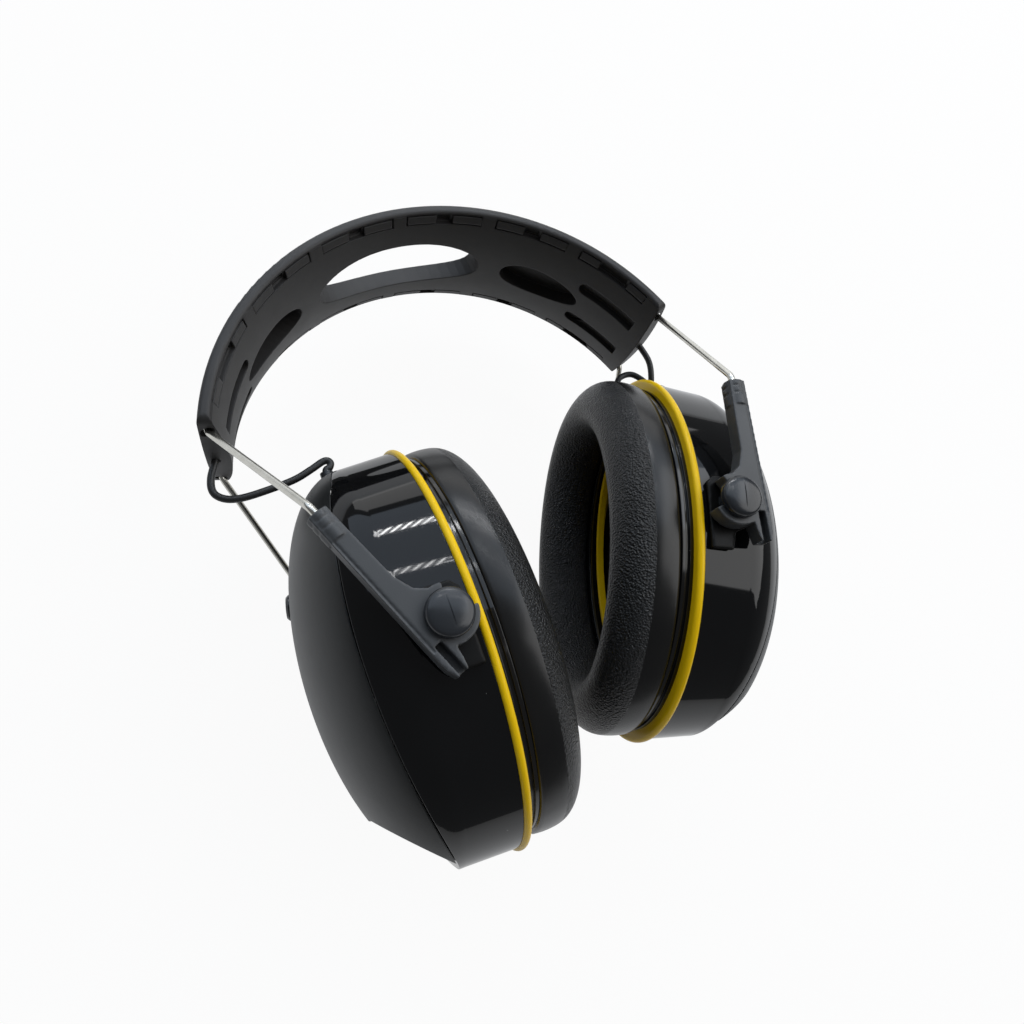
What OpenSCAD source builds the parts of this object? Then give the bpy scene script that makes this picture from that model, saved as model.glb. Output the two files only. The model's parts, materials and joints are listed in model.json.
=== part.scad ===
// Earmuff hearing protector: two oval cups on a moulded headband with two spring wires.
// It lies on its back, as it is put down on a table. Each piece is modelled as worn
// (X to the right cup, Y to the back of the head, Z to the crown, cup pivots at Z = 0)
// and lay_down() then turns it onto its back.

/* [Headband] */
// Outer radius of the headband arc
band_r = 75; // [70:0.5:90]
// Height of the crown above the cup pivots
crown_h = 119.4; // [110:0.1:135]
// Angle from the crown to the middle of each band end
band_end_a = 72.7; // [68:0.1:76]
// Width of the headband, front to back
band_w = 39.6; // [37:0.2:46]
// Thickness of the band at its rims
rim_t = 3.4; // [3:0.1:4.5]
// Thickness of the band along its middle
mid_t = 6.2; // [5.5:0.1:8]
// Half length of the middle window
window_l = 26.5; // [20:0.5:30]
// Half width of the middle window
window_w = 9.2; // [6:0.1:9.5]

/* [Spring wires] */
// Diameter of the spring wire
wire_d = 1.8; // [1.6:0.1:2.0]
// Distance of each wire from the middle of the band
wire_y = 14.6; // [14.4:0.1:15]
// Distance of each straight wire leg from the middle plane of the cups
leg_y = 44.8; // [44.8:0.1:46]
// Lean of the wire legs and arms, from upright
leg_lean = 20.7; // [15:0.1:25]
// Length of each straight wire leg
leg_l = 36; // [32:1:38]

/* [Cups] */
// Distance of each pivot from the middle of the head
pivot_x = 38.4; // [38:0.1:60]
// Half height of the yellow ring
cup_h = 54.1; // [50:0.1:56]
// Width of the cup over its height
cup_aspect = 0.78; // [0.74:0.01:0.8]
// Tilt of the left cup
left_tilt = 3.4; // [0:0.1:10]
// Tilt of the right cup
right_tilt = 25; // [0:0.1:25.5]
// Thickness of the cup walls
wall = 2.2; // [1.8:0.1:2.6]

/* [Pivots] */
// Radius of the pivot pin
pin_r = 3; // [2.5:0.1:3]
// Radius of the domed head of the pin
head_r = 5.2; // [4.5:0.05:5.5]
// Thickness of the arm plate
arm_t = 4.2; // [4:0.1:4.4]

/* [Cable] */
// Diameter of the cable between the cups
cable_d = 2; // [1.8:0.1:2.2]

/* [Hidden] */
$fn = 64;
band_z = crown_h - band_r;
wire_r = band_r - 1.8;
wire_bore = 0.15;
leg_dir = [sin(leg_lean), 0, cos(leg_lean)];
leg_out = [cos(leg_lean), 0, -sin(leg_lean)];
pivot = [pivot_x, 0, 0];
// distances in the arm's own directions: out from the pivot, and up along the leg
leg_a = 5.8;
bend_b = 35.2;
mouth_b = 33;
foot_b = -10.6;
arm_face = leg_y + arm_t / 2;
arm_back = leg_y - arm_t / 2;
running = 0.08;
cable_r = band_r - 2.4;
cable_side_y = 11.6;
black = [0.06, 0.06, 0.065];
matt = [0.13, 0.13, 0.135];
yellow = [0.85, 0.65, 0.03];
steel = [0.75, 0.74, 0.7];
// cup levels, outward from the pivot axis
ring_u = -6.6;
plate_u = -8.6;
cushion_u = -11.6;
seam_mid_u = 17.7;
floor_u = 5;
grommet_u = 8.4;
grommet_r = 1.8;
cable_hole_r = cable_d / 2 + 0.12;
button_at = [27.1, 5, 22];
button_r = 3.4;
// the cups hang a little below their pivots
cup_low = -0.8;
// lie of the headset on its back
lie_tilt = 6.2;
origin_shift = [-0.254, -32.789, 50.286];

function unit(v) = v / norm(v);
function mirror_x(points) = [for (p = points) [-p[0], p[1], p[2]]];
function reversed(points) = [for (i = [len(points) - 1:-1:0]) points[i]];

// Points that round the corner b of the line a, b, c with radius r
function corner(a, b, c, r, n = 4) =
    let (u = unit(a - b), v = unit(c - b), half = acos(u * v) / 2,
         centre = b + unit(u + v) * r / sin(half), back = r / tan(half))
    [for (i = [0:n]) centre + r * unit((1 - i / n) * (b + u * back - centre) + i / n * (b + v * back - centre))];

// A smooth curve through the points, with n steps between each two
function spline(p, n) = concat(
    [for (i = [0:len(p) - 2], k = [0:n - 1])
        let (t = k / n, a = p[max(i - 1, 0)], b = p[i], c = p[i + 1], d = p[min(i + 2, len(p) - 1)])
        b + (c - a) * t / 2 + (a * 2 - b * 5 + c * 4 - d) * t * t / 2 + (b * 3 - a - c * 3 + d) * t * t * t / 2],
    [p[len(p) - 1]]);

// A round tube along the points
function tangent(p, i) = unit(p[min(i + 1, len(p) - 1)] - p[max(i - 1, 0)]);
function ring_sides(p, i, last) = i == len(p) ? [] :
    let (t = tangent(p, i), s = unit(last - (last * t) * t)) concat([s], ring_sides(p, i + 1, s));
module swept_tube(p, r, n = 8) {
    side = ring_sides(p, 0, [0.1, 1, 0.2]);
    rings = [for (i = [0:len(p) - 1], k = [0:n - 1])
        p[i] + r * (cos(360 * k / n) * side[i] + sin(360 * k / n) * cross(tangent(p, i), side[i]))];
    last = n * (len(p) - 1);
    polyhedron(rings, concat([[for (k = [0:n - 1]) n - 1 - k]], [[for (k = [0:n - 1]) last + k]],
        [for (i = [0:len(p) - 2], k = [0:n - 1], half = [0, 1])
            let (a = n * i + k, b = n * i + (k + 1) % n)
            half == 0 ? [a, b, b + n] : [a, b + n, a + n]]));
}

// A superellipse outline
function oval_outline(a, b, e, n = 32) = [for (i = [0:n - 1]) let (c = cos(360 * i / n), s = sin(360 * i / n))
    [a * sign(c) * pow(abs(c), 2 / e), b * sign(s) * pow(abs(s), 2 / e)]];

// ---------------------------------------------------------------- headband

// Turns a profile of [radius, y] round the band from angle a0 to a1 off the crown
module band_arc(a0, a1) {
    translate([0, 0, band_z]) rotate([-90, 0, 0]) rotate([0, 0, a0 - 90])
        rotate_extrude(angle = a1 - a0, $fn = 180) children();
}

// Puts children on the band at angle a off the crown, with Z outward
module on_band(a) {
    translate([0, 0, band_z]) rotate([0, a, 0]) translate([0, 0, band_r]) children();
}

module band_profile() {
    edge = 1.3;
    bulge_w = band_w - 1.6;
    bulge = mid_t - rim_t;
    bulge_r = (bulge_w * bulge_w / 4 + bulge * bulge) / 2 / bulge;
    translate([band_r - rim_t, edge - band_w / 2]) square([rim_t, band_w - 2 * edge]);
    translate([band_r - rim_t + edge, -band_w / 2]) square([rim_t - 2 * edge, band_w]);
    for (x = [band_r - rim_t + edge, band_r - edge], y = [-1, 1])
        translate([x, y * (band_w / 2 - edge)]) circle(edge);
    intersection() {
        translate([band_r - mid_t + bulge_r, 0]) circle(bulge_r, $fn = 180);
        translate([band_r - mid_t - 1, -bulge_w / 2]) square([mid_t, bulge_w]);
    }
}

// The wire is held in by pairs of tabs in each of these slots: [start, first tab, second tab, end]
slots = [[1.6, 9.2, 12.9, 20.5], [24.0, 31.4, 35.4, 42.9], [46.5, 52.4, 60.6, 66.8]];
slot_y = [15.9, 19.1];
module wire_slots() {
    groove = 0.5;
    gap_in = 0.3;
    slot_r = band_r - 2.8;
    gap_r = band_r - 2.1;
    for (s = slots) {
        difference() {
            band_arc(s[0], s[3]) translate([band_r - 7, slot_y[0]]) square([slot_r - band_r + 7, slot_y[1] - slot_y[0]]);
            for (tab = [[s[0], s[1]], [s[2], s[3]]])
                band_arc(tab[0] + 0.4, tab[1] - 0.1) translate([band_r - 8, slot_y[0] + groove])
                    square([8, slot_y[1] - slot_y[0] - 2 * groove]);
        }
        band_arc(s[1] + 0.3, s[2] - 0.3) translate([band_r - 9, slot_y[0] + gap_in])
            square([gap_r - band_r + 9, slot_y[1] - slot_y[0] - 2 * gap_in]);
    }
}

// A groove each side of the cable near the band's ends
module end_grooves() {
    groove_w = 4.2;
    groove_r = band_r - 3.9;
    groove_y = 7.3;
    for (y = [-groove_y, groove_y]) {
        band_arc(52.2, 68.4) translate([band_r - 8, y - groove_w / 2]) square([groove_r - band_r + 8, groove_w]);
        on_band(52.2) translate([0, y, -9]) cylinder(r = groove_w / 2, h = 9 + groove_r - band_r);
    }
}

// Cuts the band's end to a shallow tongue with round corners
module end_trim() {
    tongue_r = 96;
    round_r = 2;
    half = band_w / 2;
    outline = [for (i = [-20:20]) let (y = half * sin(4.5 * i), in = max(0, abs(y) - half + round_r))
        [sqrt(tongue_r * tongue_r - y * y) - tongue_r - round_r + sqrt(round_r * round_r - in * in), y]];
    on_band(band_end_a) translate([0, 0, -12]) linear_extrude(16) polygon(concat(outline,
        [[outline[40][0], half + 1], [12, half + 1], [12, -half - 1], [outline[0][0], -half - 1]]));
}

// Room for the bend of the wire in the band's end
module wire_exit(m) {
    bend = wire_corner(m);
    along = unit(leg_point(bend_b, m) - bend);
    translate(bend) rotate([0, acos(along[2]), atan2(along[1], along[0])])
        translate([0, 0, -1.5]) cylinder(r = wire_d / 2 + 0.6, h = 14);
}

// The slanting part of the cable's tunnel, between the end and the side of the band
module cable_slant() {
    over = 1.2;
    from = band_point(middle_a, cable_r, 0);
    run = band_point(side_a, cable_r, cable_side_y) - from;
    translate(from) rotate([0, acos(run[2] / norm(run)), atan2(run[1], run[0])])
        translate([0, 0, -over]) cylinder(r = cable_d / 2 + 0.35, h = norm(run) + 2 * over);
}

// The middle window goes through; the oval beside it, each side, is a recess of the inner face
module band_openings() {
    recess_floor = 1.3;
    on_band(0) translate([0, 0, -14]) linear_extrude(20) polygon(oval_outline(window_l, window_w, 2.3, 40));
    for (s = [0, 1]) mirror([s, 0, 0]) {
        difference() {
            on_band(40.3) translate([0, 0, -12]) linear_extrude(20)
                polygon([for (p = oval_outline(13.8, 5.4, 2.1)) [p[0], p[1] * (1 - 0.012 * p[0])]]);
            band_arc(20, 60) translate([band_r - recess_floor, -9]) square([12, 18]);
        }
        for (m = [0, 1]) mirror([0, m, 0]) wire_slots();
        end_grooves();
    }
}

module band_bores() {
    for (y = [-wire_y, wire_y])
        band_arc(-75, 75) translate([wire_r, y]) circle(wire_d / 2 + wire_bore);
    band_arc(-side_a, side_a) translate([cable_r, cable_side_y]) circle(cable_d / 2 + 0.15);
    for (s = [0, 1]) mirror([s, 0, 0]) {
        cable_slant();
        band_arc(middle_a, 76) translate([cable_r, 0]) circle(cable_d / 2 + 0.15);
    }
}

module headband() {
    color(matt) difference() {
        difference() {
            difference() {
                band_arc(-band_end_a, band_end_a) band_profile();
                for (s = [0, 1]) mirror([s, 0, 0]) end_trim();
            }
            band_openings();
        }
        band_bores();
        for (s = [0, 1], m = [-1, 1]) mirror([s, 0, 0]) wire_exit(m);
    }
}

// ---------------------------------------------------------------- spring wires

function band_point(a, r, y) = [r * sin(a), y, band_z + r * cos(a)];
wire_end_a = 69.9;
function wire_corner(m) = band_point(wire_end_a, wire_r, m * wire_y) + 1.9 * [cos(wire_end_a), 0, -sin(wire_end_a)];
function leg_point(b, m) = pivot + [0, m * leg_y, 0] + leg_a * leg_out + b * leg_dir;
function wire_half(m) = concat(
    corner(band_point(wire_end_a - 1.5, wire_r, m * wire_y), wire_corner(m), leg_point(bend_b, m), 4, 4),
    corner(wire_corner(m), leg_point(bend_b, m), leg_point(0, m), 3.4, 4),
    [leg_point(bend_b - leg_l / 2, m), leg_point(bend_b - leg_l, m)]);
function wire_route(m) = concat(
    mirror_x(reversed(wire_half(m))),
    [for (i = [-11:11]) band_point(6.2 * i, wire_r, m * wire_y)],
    wire_half(m));

module front_wire() color(steel) swept_tube(wire_route(-1), wire_d / 2, 10);
module rear_wire() color(steel) swept_tube(wire_route(1), wire_d / 2, 10);

// ---------------------------------------------------------------- cable

// It runs in the middle at the band's ends and beside the windows between them
side_a = 50;
middle_a = 64;
cable_end_a = 72;
band_cable_route = concat(
    [for (a = [-cable_end_a, -68, -middle_a]) band_point(a, cable_r, 0)],
    [for (i = [-12:12]) band_point(side_a * i / 12, cable_r, cable_side_y)],
    [for (a = [middle_a, 68, cable_end_a]) band_point(a, cable_r, 0)]);
// Loops from the band's ends to the tops of the cups
left_cable_points = [[-72, 0, 61.6], [-72.6, 0, 57.6], [-70.4, 0, 55], [-66.3, 0, 53.9], [-59.5, 0, 54.2],
    [-52.2, 0, 54.8], [-47, 0, 56.7], [-44.1, 0, 57.6], [-42.65, 0, 57.25], [-42.25, 0, 56.3], [-42.7, 0, 55.3]];
right_cable_points = [[70.1, 0.5, 60], [69, 2, 54.5], [68, 4.5, 51.6], [69, 6, 55], [65.8, 6.5, 59.4], [61, 7, 59.5],
    [57.5, 5.5, 55.5], [58.5, 3, 51.5], [63, 1.5, 51.3], [67.8, 0.3, 50.1], [70.3, 0, 47.8]];
// A point of the cup on side s, as worn: u out from the pivots and w up
function cup_point(u, w, s, tilt) = [s * (pivot_x + u * cos(tilt)) + (w + cup_low) * sin(tilt), 0,
    (w + cup_low) * cos(tilt) - s * u * sin(tilt)];
function cable_loop(points, s, tilt) = spline(concat(
    [let (e = band_point(cable_end_a + 0.2, cable_r, 0)) [s * e[0], e[1], e[2]]],
    points,
    [for (w = [0.3, -5]) cup_point(grommet_u, body_r + 1.2 + w, s, tilt)]), 4);

module band_cable() color(black) swept_tube(band_cable_route, cable_d / 2);
module left_cable() color(black) swept_tube(cable_loop(left_cable_points, -1, left_tilt), cable_d / 2);
module right_cable() color(black) swept_tube(cable_loop(right_cable_points, 1, right_tilt), cable_d / 2);

// ---------------------------------------------------------------- arms

// Puts an extrusion of [out, up] arm distances on the right front arm, from y = -y0 to -y1
module arm_slab(y0, y1) {
    translate(pivot) rotate([90, leg_lean, 0]) translate([0, 0, y0]) linear_extrude(y1 - y0) children();
}

module arm_outline() {
    ring_r = 6.6;
    polygon([[3.6, mouth_b], [8, mouth_b], [8.1, -6.5], [7.9, -8.4], [7.2, foot_b], [4.4, foot_b],
        [3.7, -8.4], [3.1, -5.4], [0, 0], [-0.6, 6.5], [1.8, 8.6], [3.2, 13]]);
    circle(ring_r);
}

// The open side of the hook faces the head
module hook_mouth() {
    rotate(160.4) polygon([[0, 0], for (a = [-41, 41]) 14 * [cos(a), sin(a)]]);
}

module arm() {
    leg_bore = wire_d / 2 + wire_bore;
    slit = 0.7;
    color(black) difference() {
        union() {
            arm_slab(arm_back, arm_face) difference() {
                arm_outline();
                hook_mouth();
            }
            translate(leg_point(mouth_b, -1)) rotate([0, leg_lean + 180, 0]) {
                cylinder(r = 2.4, h = 7);
                for (ring = [[0, 1.5], [2, 1.5], [4, 3]]) translate([0, 0, ring[0]])
                    cylinder(r = 2.65, h = ring[1]);
            }
        }
        translate(pivot) rotate([90, 0, 0]) cylinder(r = pin_r + running, h = 80);
        translate(leg_point(mouth_b + 1, -1)) rotate([0, leg_lean + 180, 0]) cylinder(r = leg_bore, h = 60);
        arm_slab(arm_face - 1.2, arm_face + 1) translate([leg_a + 1.3, -4]) square([slit, 30]);
        arm_slab(leg_y - 0.9, arm_face + 1) translate([leg_a - 0.9, foot_b - 1]) square([1.8, 8.6]);
    }
}

module right_front_arm() arm();
module right_rear_arm() mirror([0, 1, 0]) arm();
module left_front_arm() mirror([1, 0, 0]) arm();
module left_rear_arm() mirror([1, 0, 0]) mirror([0, 1, 0]) arm();

// ---------------------------------------------------------------- cup pieces, X outward and Z up

// Turns a profile of [radius, u] into an oval piece
module oval(aspect = cup_aspect) {
    scale([1, aspect, 1]) for (a = [0, 90, 180, 270])
        rotate([a, 0, 0]) rotate([0, 90, 0]) rotate_extrude(angle = 90, $fn = 180) children();
}
body_r = cup_h - 0.9;
dome_u = 6.5;
dome_r = body_r - 1.1;
dome_h = 22.9;
// The cup's outer radius at level u; less draws the same curve further in
function shell_r(u, less = 0) = u < dome_u ? body_r - less - (body_r - dome_r) * (u - ring_u) / (dome_u - ring_u)
    : (dome_r - less) * sqrt(1 - pow((u - dome_u) / (dome_h - less), 2));

// The outside of shell and cover in one, from level u0; less is how far in it lies
module cup_body(u0, less = 0) {
    if (u0 < dome_u) scale([1, cup_aspect, 1]) translate([u0, 0, 0]) rotate([0, 90, 0])
        cylinder(r1 = shell_r(u0, less), r2 = dome_r - less, h = dome_u - u0, $fn = 180);
    translate([dome_u, 0, 0]) scale([(dome_h - less) / (dome_r - less), cup_aspect, 1]) rotate([0, 90, 0])
        for (a = [0, 90, 180, 270])
        rotate([0, 0, a]) rotate_extrude(angle = 90, $fn = 180) intersection() {
            circle(r = dome_r - less, $fn = 180);
            square(dome_r);
        }
}

// The seam between shell and cover bows outward to the middle of the cup
seam_bow = 138;
seam_gap = 0.25;
module seam_cutter(gap = 0) {
    translate([seam_mid_u - seam_bow + gap, 0, 0]) rotate([90, 0, 0])
        cylinder(r = seam_bow, h = 120, center = true, $fn = 360);
}

// All that lies outward of the seam
module seam_end() {
    difference() {
        translate([2, -50, -60]) cube([40, 100, 120]);
        seam_cutter();
    }
}

// The finger recess at the bottom of the cover; less is how far in it is drawn
module finger_recess(less = 0) {
    rotate([90, 0, 0]) linear_extrude(60, center = true) translate([-less * 0.7, less * 0.7])
        polygon([[7, -50.8], [23.5, -33.9], [31, -41.4], [31, -70], [7, -70]]);
}

module side_shell() {
    color(black) difference() {
        cup_body(ring_u);
        seam_end();
        cup_body(floor_u, wall);
        scale([1, cup_aspect, 1]) translate([ring_u - 0.001, 0, 0]) rotate([0, 90, 0])
            cylinder(r1 = body_r - wall, r2 = shell_r(floor_u - 1.6) - wall, h = floor_u - 1.6 - ring_u, $fn = 180);
        translate([floor_u - 5, 12, 0]) rotate([0, 90, 0]) cylinder(r = 2, h = 8);
        grommet_notch();
    }
}

module outer_cover() {
    color(matt) difference() {
        cup_body(floor_u - 2);
        finger_recess();
        difference() {
            cup_body(floor_u - 4, wall);
            finger_recess(wall);
        }
        seam_cutter(seam_gap);
        grommet_notch();
    }
}

module left_cover() {
    difference() {
        outer_cover();
        color(matt) at_button() translate([0, 0, -5]) cylinder(r = button_r + 0.25, h = 10);
    }
}

opening_w = [19, 33];
module trim_ring() {
    bead = 1;
    color(yellow) difference() {
        union() {
            oval() {
                translate([cup_h - bead, ring_u - bead]) circle(bead, $fn = 32);
                translate([30, plate_u]) square([cup_h - bead - 30, ring_u - plate_u]);
            }
            translate([plate_u - 1.4, 0, 0]) scale([1, opening_w[0] / opening_w[1], 1]) rotate([0, 90, 0])
                rotate_extrude() translate([opening_w[1], 0]) square([2.2, 2]);
        }
        translate([plate_u - 4, 0, 0]) scale([1, opening_w[0] / opening_w[1], 1]) rotate([0, 90, 0])
            cylinder(r = opening_w[1], h = 8);
    }
}

module seal_plate() {
    edge = cup_h - 3.2;
    groove_u = (cushion_u + plate_u) / 2;
    color(black) difference() {
        oval() polygon([[0, cushion_u], [edge, cushion_u], [edge, groove_u - 0.5], [edge - 0.8, groove_u - 0.5],
            [edge - 0.8, groove_u + 0.5], [edge, groove_u + 0.5], [edge, plate_u], [0, plate_u]]);
        translate([cushion_u - 4, 0, 0]) scale([1, 22 / 36, 1]) rotate([0, 90, 0]) cylinder(r = 36, h = 8);
    }
}

// Section of the cushion: [distance in from its seam, u]
cushion_section = [[0, -18.7], [2.4, -21.3], [5.6, -23.9], [8.4, -25.9], [10.6, -26.4], [12.8, -25.9], [14.9, -23.6],
    [16.2, -19.4], [16.4, -15], [15.6, cushion_u], [0.5, cushion_u], [0, -15.2]];
module ear_cushion() {
    seam_w = cup_h - 1.7;
    seam_y = 40;
    n = 44;
    m = len(cushion_section);
    points = [for (i = [0:n - 1], s = cushion_section)
        let (c = cos(360 * i / n), q = sin(360 * i / n), out = unit([seam_w * c, seam_y * q]))
        [s[1], seam_y * c - s[0] * out[0], seam_w * q - s[0] * out[1]]];
    color(black) polyhedron(points, [for (i = [0:n - 1], k = [0:m - 1], half = [0, 1])
        let (a = m * i + k, b = m * i + (k + 1) % m, c = m * ((i + 1) % n) + (k + 1) % m, d = m * ((i + 1) % n) + k)
        half == 0 ? [a, b, c] : [a, c, d]]);
}

module foam_liner() {
    color(matt) oval() translate([20, -4]) square([29, floor_u - 1.7 + 4]);
}

module speaker() {
    color(black) translate([floor_u - 1.65, 0, 0]) rotate([0, -90, 0]) {
        cylinder(r = 14, h = 3);
        translate([0, 0, 3]) difference() {
            cylinder(r = 12.5, h = 3);
            translate([0, 0, 1]) cylinder(r = 11, h = 3);
        }
    }
}

// The moulded block under each arm's hook, cut to the curve of the cup
module pivot_brackets() {
    color(black) for (m = [0, 1]) mirror([0, m, 0]) difference() {
        rotate([90, 0, 0]) translate([0, 0, 36]) linear_extrude(arm_back - 0.35 - 36)
            polygon([[-5.4, -11.5], [0.5, -11.5], [1.5, -7], [5.5, -5], [5.5, 6], [3.5, 7.5], [-3.5, 7.5], [-5.4, 5.5]]);
        translate([0, 0, cup_low]) scale([1, cup_aspect, 1]) rotate([0, 90, 0])
            cylinder(r = body_r, h = 30, center = true, $fn = 180);
    }
}

module pivot_pins() {
    dome = 2.8;
    dome_ball = (head_r * head_r + dome * dome) / 2 / dome;
    color(black) for (m = [0, 1]) mirror([0, m, 0]) rotate([90, 0, 0]) {
        translate([0, 0, arm_back - 0.35]) cylinder(r = pin_r, h = arm_t + 0.7);
        difference() {
            translate([0, 0, arm_face + 0.35]) intersection() {
                cylinder(r = head_r, h = dome + 1);
                translate([0, 0, dome + 0.5 - dome_ball]) sphere(dome_ball);
            }
            translate([-0.15, -head_r, arm_face + 0.35 + dome + 0.25]) cube([0.3, 2 * head_r, 2]);
        }
    }
}

// The sleeve where the cable goes in, held in a notch at the seam
module grommet_notch() {
    translate([grommet_u, 0, body_r - 8]) cylinder(r = grommet_r + 0.1, h = 12);
}

module cable_grommet() {
    color(black) translate([grommet_u, 0, body_r - 3.4]) difference() {
        cylinder(r = grommet_r, h = 4.6);
        translate([0, 0, -1]) cylinder(r = cable_hole_r, h = 8);
    }
}

// The board carries a post with the switch that the button presses
module circuit_board() {
    board_u = floor_u + 3;
    color([0.05, 0.3, 0.12]) {
        difference() {
            translate([board_u, 0, 0]) rotate([0, 90, 0]) cylinder(r = 24, h = 1.6);
            translate([board_u - 1, -40, -60]) cube([4, 80, 40]);
        }
        translate([board_u + 1.6, button_at[1] - 2, button_at[2] - 7]) cube([10.4, 4, 4]);
        for (y = [-14, 14]) translate([floor_u, y, -4]) rotate([0, 90, 0]) cylinder(r = 2, h = 3);
    }
}

module at_button() translate(button_at) rotate([0, 78.4, 4.3]) children();
module power_button() {
    color(black) at_button() {
        translate([0, 0, -3.3]) cylinder(r = button_r, h = 3.6);
        translate([0, 0, 0.3]) cylinder(r1 = button_r, r2 = button_r - 0.6, h = 0.6);
        translate([0, 0, -3.3]) cylinder(r = button_r + 0.9, h = 0.7);
        translate([-4, 0, -12]) cylinder(r = 1.2, h = 8.8);
    }
}

module battery_holder() {
    color(black) difference() {
        translate([floor_u, -14, -26]) cube([12, 28, 50]);
        translate([floor_u + 1.5, -12.5, -24.5]) cube([12, 25, 47]);
    }
}

module batteries() {
    for (s = [-1, 1]) color(steel) translate([floor_u + 7, s * 6, -23]) {
        cylinder(r = 5.2, h = 43.3);
        translate([0, 0, 43.3]) cylinder(r = 1.9, h = 1.2);
    }
}

// ---------------------------------------------------------------- places

module right_pivot() translate(pivot) rotate([0, right_tilt, 0]) children();
module left_pivot() translate(-pivot) rotate([0, left_tilt, 0]) mirror([1, 0, 0]) children();
module right_cup() right_pivot() translate([0, 0, cup_low]) children();
module left_cup() left_pivot() translate([0, 0, cup_low]) children();
module lay_down() translate(origin_shift) rotate([-90 - lie_tilt, 0, 0]) children();

lay_down() headband();
lay_down() front_wire();
lay_down() rear_wire();
lay_down() band_cable();
lay_down() left_cable();
lay_down() right_cable();
lay_down() left_front_arm();
lay_down() left_rear_arm();
lay_down() right_front_arm();
lay_down() right_rear_arm();
lay_down() left_cup() side_shell();  // left_side_shell
lay_down() left_cup() left_cover();  // left_outer_cover
lay_down() left_cup() trim_ring();  // left_trim_ring
lay_down() left_cup() seal_plate();  // left_seal_plate
lay_down() left_cup() ear_cushion();  // left_ear_cushion
lay_down() left_cup() foam_liner();  // left_foam_liner
lay_down() left_cup() speaker();  // left_speaker
lay_down() left_pivot() pivot_brackets();  // left_pivot_brackets
lay_down() left_pivot() pivot_pins();  // left_pivot_pins
lay_down() left_cup() cable_grommet();  // left_cable_grommet
lay_down() left_cup() circuit_board();  // left_circuit_board
lay_down() left_cup() power_button();  // left_power_button
lay_down() right_cup() side_shell();  // right_side_shell
lay_down() right_cup() outer_cover();  // right_outer_cover
lay_down() right_cup() trim_ring();  // right_trim_ring
lay_down() right_cup() seal_plate();  // right_seal_plate
lay_down() right_cup() ear_cushion();  // right_ear_cushion
lay_down() right_cup() foam_liner();  // right_foam_liner
lay_down() right_cup() speaker();  // right_speaker
lay_down() right_pivot() pivot_brackets();  // right_pivot_brackets
lay_down() right_pivot() pivot_pins();  // right_pivot_pins
lay_down() right_cup() cable_grommet();  // right_cable_grommet
lay_down() right_cup() battery_holder();  // right_battery_holder
lay_down() right_cup() batteries();  // right_batteries
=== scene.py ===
import json
import math

import bpy
from mathutils import Matrix, Vector


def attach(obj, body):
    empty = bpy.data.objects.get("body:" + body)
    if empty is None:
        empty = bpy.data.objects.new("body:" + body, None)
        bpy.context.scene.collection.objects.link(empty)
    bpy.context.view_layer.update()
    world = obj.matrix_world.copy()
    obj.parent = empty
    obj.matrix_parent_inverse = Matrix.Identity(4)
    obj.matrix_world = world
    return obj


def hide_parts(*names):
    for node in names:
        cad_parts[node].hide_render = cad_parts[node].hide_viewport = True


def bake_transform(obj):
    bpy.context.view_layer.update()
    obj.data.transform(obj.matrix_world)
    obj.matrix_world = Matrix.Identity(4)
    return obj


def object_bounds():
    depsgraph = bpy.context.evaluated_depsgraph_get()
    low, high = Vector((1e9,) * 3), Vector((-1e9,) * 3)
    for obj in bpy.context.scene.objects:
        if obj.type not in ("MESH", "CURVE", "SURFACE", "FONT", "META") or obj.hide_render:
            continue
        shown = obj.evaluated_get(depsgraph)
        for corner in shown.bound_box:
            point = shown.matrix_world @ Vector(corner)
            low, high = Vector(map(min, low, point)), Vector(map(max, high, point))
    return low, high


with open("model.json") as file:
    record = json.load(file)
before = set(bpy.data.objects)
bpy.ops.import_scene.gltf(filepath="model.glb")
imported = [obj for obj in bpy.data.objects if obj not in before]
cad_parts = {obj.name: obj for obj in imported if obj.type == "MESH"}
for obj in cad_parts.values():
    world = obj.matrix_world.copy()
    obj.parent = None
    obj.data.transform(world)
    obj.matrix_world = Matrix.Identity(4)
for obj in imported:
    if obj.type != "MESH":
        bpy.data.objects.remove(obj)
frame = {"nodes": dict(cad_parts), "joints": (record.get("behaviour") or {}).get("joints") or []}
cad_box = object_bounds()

MM = 0.001

# ---------------------------------------------------------------- the headset's own directions
# Worn frame: X to the right cup, Y to the back of the head, Z to the crown, pivots at Z = 0.

joints = {j["name"]: j for j in frame["joints"]}
left_pivot = Vector(joints["left_tilt"]["pos_m"])
right_pivot = Vector(joints["right_tilt"]["pos_m"])
across = (right_pivot - left_pivot).normalized()
back = Vector(joints["right_tilt"]["axis"]).normalized()
crown = across.cross(back)
middle = (left_pivot + right_pivot) / 2
PIVOT_X = (right_pivot - left_pivot).length / 2 / MM
WORN = Matrix((
    (across.x, back.x, crown.x, middle.x),
    (across.y, back.y, crown.y, middle.y),
    (across.z, back.z, crown.z, middle.z),
    (0, 0, 0, 1)))


def worn_point(x, y, z):
    """A point of the worn frame, given in millimetres."""
    return WORN @ (Vector((x, y, z)) * MM)


def worn_direction(x, y, z):
    return (WORN.to_3x3() @ Vector((x, y, z))).normalized()


# ---------------------------------------------------------------- camera

# In the worn frame: where the camera stands, which way it looks and which way is up in it
CAMERA_AT = (-72.09, -183.53, -16.05)
CAMERA_LOOK = (0.36600, 0.90692, 0.20865)
CAMERA_UP = (0.30814, -0.32966, 0.89240)
CAMERA_LENS = 24.43
SENSOR_W = 36

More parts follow.
